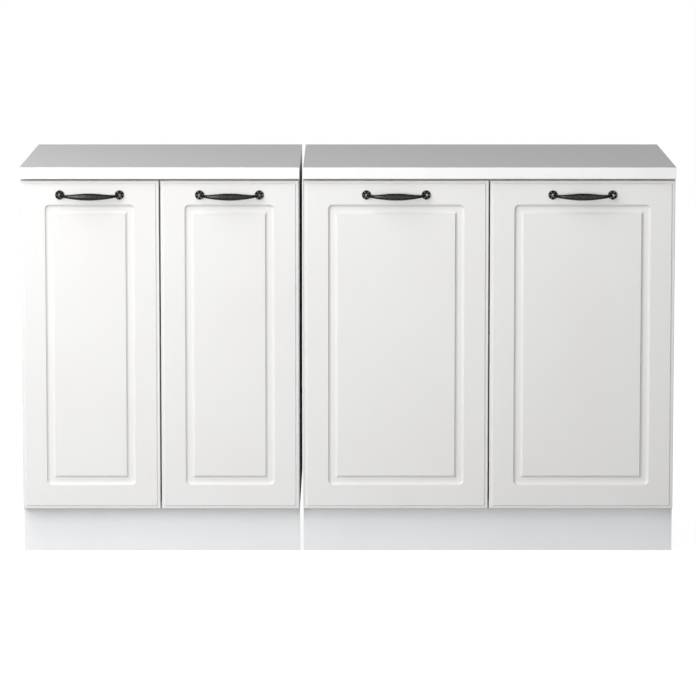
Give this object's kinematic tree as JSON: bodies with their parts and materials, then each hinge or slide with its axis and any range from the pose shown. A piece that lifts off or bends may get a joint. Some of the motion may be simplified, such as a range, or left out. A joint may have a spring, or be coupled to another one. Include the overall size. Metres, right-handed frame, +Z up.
{
  "type": "pair of low kitchen base units",
  "caption": "Narrow and wide low base units side by side, with routed panel doors on cup hinges, bow handles, worktops, plinths and adjustable feet.",
  "frame": {"origin": "on the floor, in the middle of the pair's outline with its handles", "axes": "+X to the right along the fronts, -Y out of the doors, +Z up"},
  "size_m": [1.408, 0.6228, 0.841],
  "materials": {
    "door_foil": "white foil, satin",
    "carcass_white": "white melamine",
    "plinth_white": "white foil, satin",
    "back_board": "white painted hardboard",
    "worktop_laminate": "light grey laminate with white edges, matt",
    "antique_iron": "black antiqued cast metal, rubbed bright on its ridges",
    "fitting_steel": "nickel plated",
    "fitting_zinc": "bare zinc die casting",
    "leg_plastic": "black moulded plastic",
    "dowel_beech": "raw beech",
    "bumper_clear": "clear soft dome"
  },
  "bodies": {
    "units": {"narrow_side_left": "carcass_white", "narrow_side_right": "carcass_white", "narrow_bottom": "carcass_white", "narrow_rail_front": "carcass_white", "narrow_rail_rear": "carcass_white", "narrow_back_panel": "back_board", "narrow_shelf": "carcass_white", "narrow_shelf_pins": "fitting_steel", "narrow_worktop": "worktop_laminate", "narrow_plinth": "plinth_white", "narrow_plinth_clips": "leg_plastic", "narrow_leg_sockets": "leg_plastic", "narrow_cam_fittings": "fitting_zinc", "narrow_dowels": "dowel_beech", "narrow_hinge_plates": "fitting_steel", "narrow_hinge_arms": "fitting_steel", "narrow_worktop_screws": "fitting_steel", "narrow_bumpers": "bumper_clear", "wide_side_left": "carcass_white", "wide_side_right": "carcass_white", "wide_bottom": "carcass_white", "wide_rail_front": "carcass_white", "wide_rail_rear": "carcass_white", "wide_back_panel": "back_board", "wide_shelf": "carcass_white", "wide_shelf_pins": "fitting_steel", "wide_worktop": "worktop_laminate", "wide_plinth": "plinth_white", "wide_plinth_clips": "leg_plastic", "wide_leg_sockets": "leg_plastic", "wide_cam_fittings": "fitting_zinc", "wide_dowels": "dowel_beech", "wide_hinge_plates": "fitting_steel", "wide_hinge_arms": "fitting_steel", "wide_worktop_screws": "fitting_steel", "wide_bumpers": "bumper_clear"},
    "narrow_left_leaf": {"narrow_door_left": "door_foil", "narrow_hinge_cups_left": "fitting_steel", "narrow_handle_left": "antique_iron", "narrow_handle_screws_left": "fitting_steel"},
    "narrow_right_leaf": {"narrow_door_right": "door_foil", "narrow_hinge_cups_right": "fitting_steel", "narrow_handle_right": "antique_iron", "narrow_handle_screws_right": "fitting_steel"},
    "narrow_front_left_foot": {"narrow_foot_front_left": "leg_plastic"},
    "narrow_front_right_foot": {"narrow_foot_front_right": "leg_plastic"},
    "narrow_rear_left_foot": {"narrow_foot_rear_left": "leg_plastic"},
    "narrow_rear_right_foot": {"narrow_foot_rear_right": "leg_plastic"},
    "wide_left_leaf": {"wide_door_left": "door_foil", "wide_hinge_cups_left": "fitting_steel", "wide_handle_left": "antique_iron", "wide_handle_screws_left": "fitting_steel"},
    "wide_right_leaf": {"wide_door_right": "door_foil", "wide_hinge_cups_right": "fitting_steel", "wide_handle_right": "antique_iron", "wide_handle_screws_right": "fitting_steel"},
    "wide_front_left_foot": {"wide_foot_front_left": "leg_plastic"},
    "wide_front_right_foot": {"wide_foot_front_right": "leg_plastic"},
    "wide_rear_left_foot": {"wide_foot_rear_left": "leg_plastic"},
    "wide_rear_right_foot": {"wide_foot_rear_right": "leg_plastic"}
  },
  "joints": [
    {"name": "narrow_door_left_swing", "type": "hinge", "parent": "units", "child": "narrow_left_leaf", "pos_m": [-0.695, -0.26984, 0.4555], "axis": [0, 0, 1], "range_deg": [-100, 0]},
    {"name": "narrow_door_right_swing", "type": "hinge", "parent": "units", "child": "narrow_right_leaf", "pos_m": [-0.113, -0.26984, 0.4555], "axis": [0, 0, 1], "range_deg": [0, 100]},
    {"name": "narrow_foot_front_left_screw", "type": "slide", "parent": "units", "child": "narrow_front_left_foot", "axis": [0, 0, 1], "range_m": [-0.02, 0]},
    {"name": "narrow_foot_front_right_screw", "type": "slide", "parent": "units", "child": "narrow_front_right_foot", "axis": [0, 0, 1], "range_m": [-0.02, 0]},
    {"name": "narrow_foot_rear_left_screw", "type": "slide", "parent": "units", "child": "narrow_rear_left_foot", "axis": [0, 0, 1], "range_m": [-0.02, 0]},
    {"name": "narrow_foot_rear_right_screw", "type": "slide", "parent": "units", "child": "narrow_rear_right_foot", "axis": [0, 0, 1], "range_m": [-0.02, 0]},
    {"name": "wide_door_left_swing", "type": "hinge", "parent": "units", "child": "wide_left_leaf", "pos_m": [-0.087, -0.26984, 0.4555], "axis": [0, 0, 1], "range_deg": [-100, 0]},
    {"name": "wide_door_right_swing", "type": "hinge", "parent": "units", "child": "wide_right_leaf", "pos_m": [0.695, -0.26984, 0.4555], "axis": [0, 0, 1], "range_deg": [0, 100]},
    {"name": "wide_foot_front_left_screw", "type": "slide", "parent": "units", "child": "wide_front_left_foot", "axis": [0, 0, 1], "range_m": [-0.02, 0]},
    {"name": "wide_foot_front_right_screw", "type": "slide", "parent": "units", "child": "wide_front_right_foot", "axis": [0, 0, 1], "range_m": [-0.02, 0]},
    {"name": "wide_foot_rear_left_screw", "type": "slide", "parent": "units", "child": "wide_rear_left_foot", "axis": [0, 0, 1], "range_m": [-0.02, 0]},
    {"name": "wide_foot_rear_right_screw", "type": "slide", "parent": "units", "child": "wide_rear_right_foot", "axis": [0, 0, 1], "range_m": [-0.02, 0]}
  ]
}
